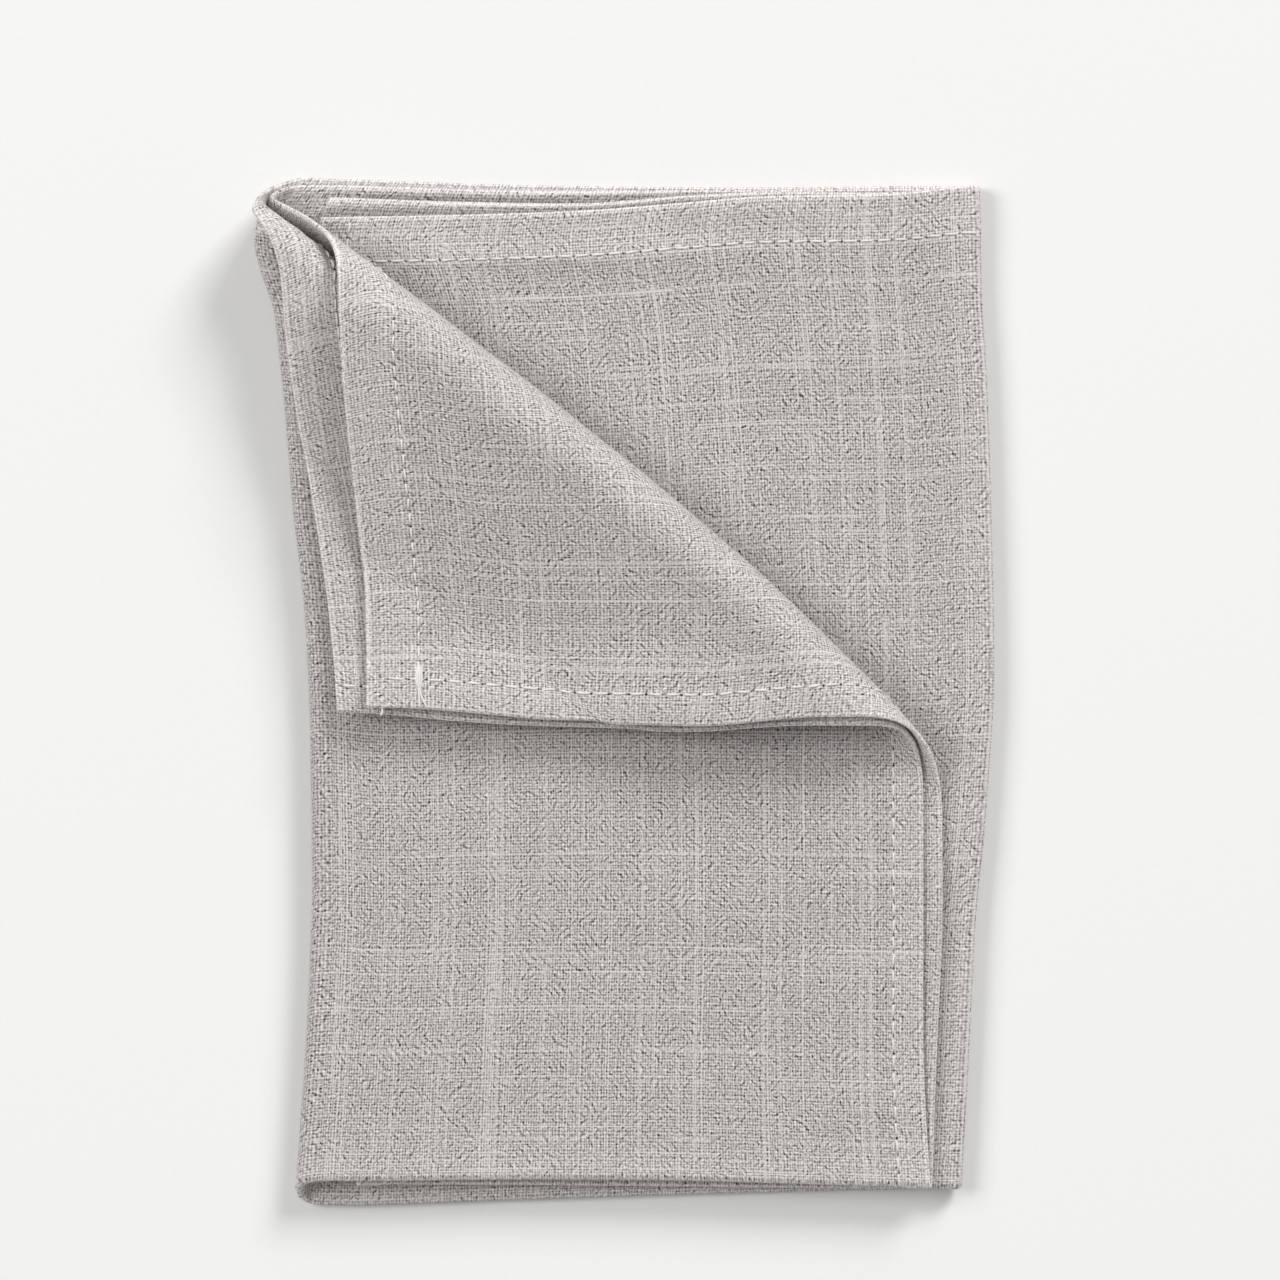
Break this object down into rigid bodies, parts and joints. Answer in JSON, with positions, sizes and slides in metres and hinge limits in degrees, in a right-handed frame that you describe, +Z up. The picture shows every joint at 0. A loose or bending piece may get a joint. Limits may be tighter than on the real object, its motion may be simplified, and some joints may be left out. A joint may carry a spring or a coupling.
{
  "type": "folded cloth napkin",
  "caption": "Square cotton table napkin in a warm grey slub weave, folded in half and then in thirds, with one corner turned back over a loose roll.",
  "frame": {"origin": "middle of the napkin's bounding box, on the surface it lies on", "axes": "+Z up from the surface, +Y along the length towards the hemmed end, +X across towards the side hem of the top third"},
  "size_m": [0.1636, 0.2264, 0.0246],
  "materials": {
    "napkin_cloth": "matt slub weave cotton with a soft crinkle"
  },
  "bodies": {
    "root": {"napkin": "napkin_cloth"}
  },
  "joints": []
}
